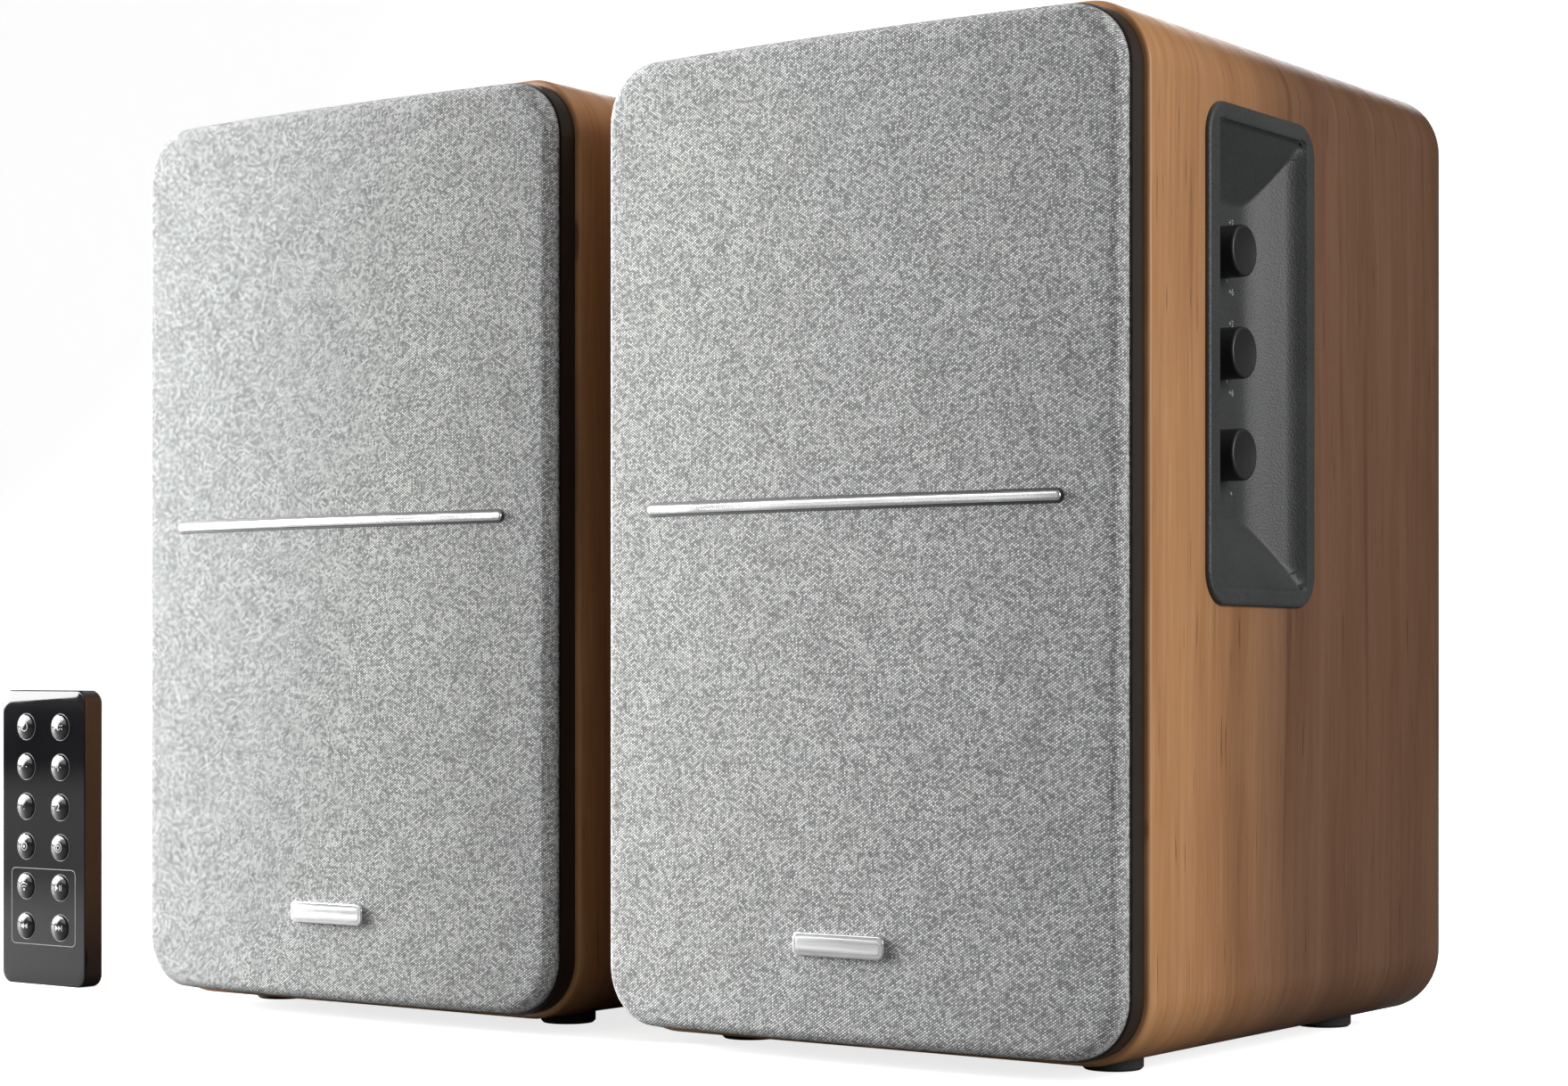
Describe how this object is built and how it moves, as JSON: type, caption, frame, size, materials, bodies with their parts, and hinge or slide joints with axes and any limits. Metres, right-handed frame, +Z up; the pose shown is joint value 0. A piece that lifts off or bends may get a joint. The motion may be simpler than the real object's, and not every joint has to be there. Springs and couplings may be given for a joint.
{
  "type": "desktop speaker pair",
  "caption": "Pair of powered wood-cased bookshelf speakers with bowed cloth grilles, side-mounted control knobs, rear sockets and a slim button remote.",
  "frame": {"origin": "on the desk under the middle of the whole set's bounding box", "axes": "+X to the listener's right, +Y away from the listener, +Z up; the grilles face -Y"},
  "size_m": [0.3812, 0.1746, 0.237],
  "materials": {
    "wood_veneer": "satin wood-grain vinyl wrap, vertical grain",
    "dark_baffle": "dark brown satin paint",
    "rear_board": "black textured laminate",
    "port_plastic": "moulded, satin",
    "basket_steel": "black powder coat",
    "magnet_ferrite": "plated plates round dark ferrite",
    "surround_rubber": "matt moulded rubber",
    "tweeter_plastic": "satin, with a silk dome",
    "screw_steel": "black zinc",
    "foot_rubber": "matt",
    "socket_plastic": "moulded, satin",
    "cone_paper": "coated paper cone",
    "grille_plastic": "moulded, matt",
    "grille_cloth": "grey melange knitted cloth",
    "strip_chrome": "satin silver",
    "tab_black": "moulded, semi-gloss",
    "tab_red": "moulded, semi-gloss",
    "panel_plastic": "charcoal, fine moulded texture",
    "board_laminate": "green solder mask",
    "transformer_iron": "varnished laminations",
    "knob_plastic": "black, fine satin",
    "switch_plastic": "moulded, semi-gloss",
    "remote_shell": "black satin",
    "remote_gloss": "black gloss",
    "key_gloss": "black gloss domes",
    "cell_steel": "nickel plated"
  },
  "bodies": {
    "active_speaker": {"right_cabinet": "wood_veneer", "right_front_baffle": "dark_baffle", "right_rear_panel": "rear_board", "right_port_tube": "port_plastic", "right_woofer_basket": "basket_steel", "right_woofer_magnet": "magnet_ferrite", "right_woofer_surround": "surround_rubber", "right_tweeter": "tweeter_plastic", "right_screws": "screw_steel", "right_feet": "foot_rubber", "right_terminal_block": "socket_plastic", "control_panel": "panel_plastic", "control_board": "board_laminate", "amplifier_board": "board_laminate", "transformer": "transformer_iron", "rear_sockets": "socket_plastic"},
    "passive_speaker": {"left_cabinet": "wood_veneer", "left_front_baffle": "dark_baffle", "left_rear_panel": "rear_board", "left_port_tube": "port_plastic", "left_woofer_basket": "basket_steel", "left_woofer_magnet": "magnet_ferrite", "left_woofer_surround": "surround_rubber", "left_tweeter": "tweeter_plastic", "left_screws": "screw_steel", "left_feet": "foot_rubber", "left_terminal_block": "socket_plastic"},
    "left_cone": {"left_woofer_cone": "cone_paper"},
    "left_grille": {"left_grille_frame": "grille_plastic", "left_grille_cloth": "grille_cloth", "left_grille_strip": "strip_chrome"},
    "left_tab_black": {"left_terminal_tab_black": "tab_black"},
    "left_tab_red": {"left_terminal_tab_red": "tab_red"},
    "right_cone": {"right_woofer_cone": "cone_paper"},
    "right_grille": {"right_grille_frame": "grille_plastic", "right_grille_cloth": "grille_cloth", "right_grille_strip": "strip_chrome"},
    "right_tab_black": {"right_terminal_tab_black": "tab_black"},
    "right_tab_red": {"right_terminal_tab_red": "tab_red"},
    "treble_knob": {"treble_knob": "knob_plastic"},
    "bass_knob": {"bass_knob": "knob_plastic"},
    "volume_knob": {"volume_knob": "knob_plastic"},
    "power_switch": {"power_switch": "switch_plastic"},
    "remote": {"remote_case": "remote_shell", "remote_face": "remote_gloss", "remote_board": "board_laminate"},
    "battery_drawer": {"battery_drawer": "remote_shell", "coin_cell": "cell_steel"},
    "key_power": {"key_power": "key_gloss"},
    "key_mute": {"key_mute": "key_gloss"},
    "key_volume_down": {"key_volume_down": "key_gloss"},
    "key_volume_up": {"key_volume_up": "key_gloss"},
    "key_input_1": {"key_input_1": "key_gloss"},
    "key_input_2": {"key_input_2": "key_gloss"},
    "key_optical": {"key_optical": "key_gloss"},
    "key_coaxial": {"key_coaxial": "key_gloss"},
    "key_wireless": {"key_wireless": "key_gloss"},
    "key_play": {"key_play": "key_gloss"},
    "key_previous": {"key_previous": "key_gloss"},
    "key_next": {"key_next": "key_gloss"}
  },
  "joints": [
    {"name": "passive_woofer_stroke", "type": "slide", "parent": "passive_speaker", "child": "left_cone", "axis": [0, -1, 0], "range_m": [-0.002, 0.002], "stiffness_N_per_m": 1200},
    {"name": "passive_grille_pull", "type": "slide", "parent": "passive_speaker", "child": "left_grille", "axis": [0, -1, 0], "range_m": [0, 0.03]},
    {"name": "terminal_passive_black", "type": "hinge", "parent": "passive_speaker", "child": "left_tab_black", "pos_m": [-0.0346, 0.08317, 0.101], "axis": [1, 0, 0], "range_deg": [0, 14], "stiffness_Nm_per_rad": 0.08},
    {"name": "terminal_passive_red", "type": "hinge", "parent": "passive_speaker", "child": "left_tab_red", "pos_m": [-0.0526, 0.08317, 0.101], "axis": [1, 0, 0], "range_deg": [0, 14], "stiffness_Nm_per_rad": 0.08},
    {"name": "active_woofer_stroke", "type": "slide", "parent": "active_speaker", "child": "right_cone", "axis": [0, -1, 0], "range_m": [-0.002, 0.002], "stiffness_N_per_m": 1200},
    {"name": "active_grille_pull", "type": "slide", "parent": "active_speaker", "child": "right_grille", "axis": [0, -1, 0], "range_m": [0, 0.03]},
    {"name": "terminal_active_black", "type": "hinge", "parent": "active_speaker", "child": "right_tab_black", "pos_m": [0.1254, 0.08317, 0.101], "axis": [1, 0, 0], "range_deg": [0, 14], "stiffness_Nm_per_rad": 0.08},
    {"name": "terminal_active_red", "type": "hinge", "parent": "active_speaker", "child": "right_tab_red", "pos_m": [0.1074, 0.08317, 0.101], "axis": [1, 0, 0], "range_deg": [0, 14], "stiffness_Nm_per_rad": 0.08},
    {"name": "treble_turn", "type": "hinge", "parent": "active_speaker", "child": "treble_knob", "pos_m": [0.1869, -0.02473, 0.1863], "axis": [1, 0, 0], "range_deg": [-140, 140]},
    {"name": "bass_turn", "type": "hinge", "parent": "active_speaker", "child": "bass_knob", "pos_m": [0.1869, -0.02473, 0.1629], "axis": [1, 0, 0], "range_deg": [-140, 140]},
    {"name": "volume_turn", "type": "hinge", "parent": "active_speaker", "child": "volume_knob", "pos_m": [0.1869, -0.02473, 0.1395], "axis": [1, 0, 0], "range_deg": [-150, 150]},
    {"name": "power_rocker", "type": "hinge", "parent": "active_speaker", "child": "power_switch", "pos_m": [0.0824, 0.07657, 0.038], "axis": [1, 0, 0], "range_deg": [0, 18]},
    {"name": "passive_speaker_place", "type": "slide", "parent": "active_speaker", "child": "passive_speaker", "axis": [0, 1, 0], "range_m": [0, 0.1]},
    {"name": "remote_lift", "type": "slide", "parent": "active_speaker", "child": "remote", "axis": [0, 0, 1], "range_m": [0, 0.08]},
    {"name": "battery_drawer_slide", "type": "slide", "parent": "remote", "child": "battery_drawer", "axis": [-1, 0, 0], "range_m": [0, 0.022]},
    {"name": "remote_key_power", "type": "slide", "parent": "remote", "child": "key_power", "axis": [0, 1, 0], "range_m": [0, 0.0005], "stiffness_N_per_m": 500},
    {"name": "remote_key_mute", "type": "slide", "parent": "remote", "child": "key_mute", "axis": [0, 1, 0], "range_m": [0, 0.0005], "stiffness_N_per_m": 500},
    {"name": "remote_key_volume_down", "type": "slide", "parent": "remote", "child": "key_volume_down", "axis": [0, 1, 0], "range_m": [0, 0.0005], "stiffness_N_per_m": 500},
    {"name": "remote_key_volume_up", "type": "slide", "parent": "remote", "child": "key_volume_up", "axis": [0, 1, 0], "range_m": [0, 0.0005], "stiffness_N_per_m": 500},
    {"name": "remote_key_input_1", "type": "slide", "parent": "remote", "child": "key_input_1", "axis": [0, 1, 0], "range_m": [0, 0.0005], "stiffness_N_per_m": 500},
    {"name": "remote_key_input_2", "type": "slide", "parent": "remote", "child": "key_input_2", "axis": [0, 1, 0], "range_m": [0, 0.0005], "stiffness_N_per_m": 500},
    {"name": "remote_key_optical", "type": "slide", "parent": "remote", "child": "key_optical", "axis": [0, 1, 0], "range_m": [0, 0.0005], "stiffness_N_per_m": 500},
    {"name": "remote_key_coaxial", "type": "slide", "parent": "remote", "child": "key_coaxial", "axis": [0, 1, 0], "range_m": [0, 0.0005], "stiffness_N_per_m": 500},
    {"name": "remote_key_wireless", "type": "slide", "parent": "remote", "child": "key_wireless", "axis": [0, 1, 0], "range_m": [0, 0.0005], "stiffness_N_per_m": 500},
    {"name": "remote_key_play", "type": "slide", "parent": "remote", "child": "key_play", "axis": [0, 1, 0], "range_m": [0, 0.0005], "stiffness_N_per_m": 500},
    {"name": "remote_key_previous", "type": "slide", "parent": "remote", "child": "key_previous", "axis": [0, 1, 0], "range_m": [0, 0.0005], "stiffness_N_per_m": 500},
    {"name": "remote_key_next", "type": "slide", "parent": "remote", "child": "key_next", "axis": [0, 1, 0], "range_m": [0, 0.0005], "stiffness_N_per_m": 500}
  ]
}
